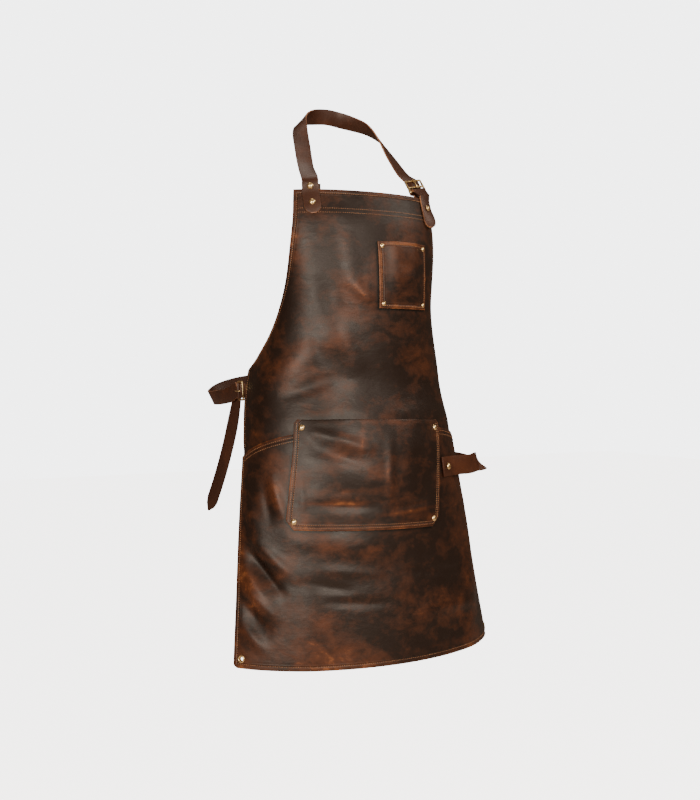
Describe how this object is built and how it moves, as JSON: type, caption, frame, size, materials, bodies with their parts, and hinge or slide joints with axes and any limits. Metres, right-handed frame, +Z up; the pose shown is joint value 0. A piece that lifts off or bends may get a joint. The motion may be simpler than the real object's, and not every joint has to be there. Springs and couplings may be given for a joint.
{
  "type": "leather blacksmith apron",
  "caption": "Long leather work apron with a bib, riveted pockets, a side tool loop, a buckled neck strap and a buckled waist strap with a hanging end.",
  "frame": {"origin": "on the nape side of the neck strap, at the strap's middle, where it would rest on the wearer's neck or a hook", "axes": "+Z up along the hanging apron, -Y out of the apron's front, +X to the wearer's left"},
  "size_m": [0.5738, 0.4734, 1.0975],
  "materials": {
    "panel_leather": "dark brown waxed leather, worn orange brown where it bends",
    "strap_leather": "reddish brown smooth leather with lighter cut edges",
    "brass": "pale worn brass"
  },
  "bodies": {
    "root": {"bib_panel": "panel_leather", "skirt_panel": "panel_leather", "front_pocket": "panel_leather", "chest_pocket": "panel_leather", "neck_strap_backing": "panel_leather", "tool_loop": "strap_leather", "neck_strap": "strap_leather", "neck_buckle_tab": "strap_leather", "waist_strap": "strap_leather", "waist_buckle_tab": "strap_leather", "neck_buckle_frame": "brass", "neck_buckle_tongue": "brass", "waist_buckle_frame": "brass", "waist_buckle_tongue": "brass", "strap_rivet_lower": "brass", "strap_rivet_upper": "brass", "tab_rivet": "brass", "front_pocket_rivet_upper_right": "brass", "front_pocket_rivet_upper_left": "brass", "front_pocket_rivet_lower_right": "brass", "front_pocket_rivet_lower_left": "brass", "chest_pocket_rivet_upper_right": "brass", "chest_pocket_rivet_upper_left": "brass", "chest_pocket_rivet_lower_right": "brass", "chest_pocket_rivet_lower_left": "brass", "tool_loop_rivet_front": "brass", "tool_loop_rivet_back": "brass", "eyelet_right": "brass", "eyelet_left": "brass"}
  },
  "joints": []
}
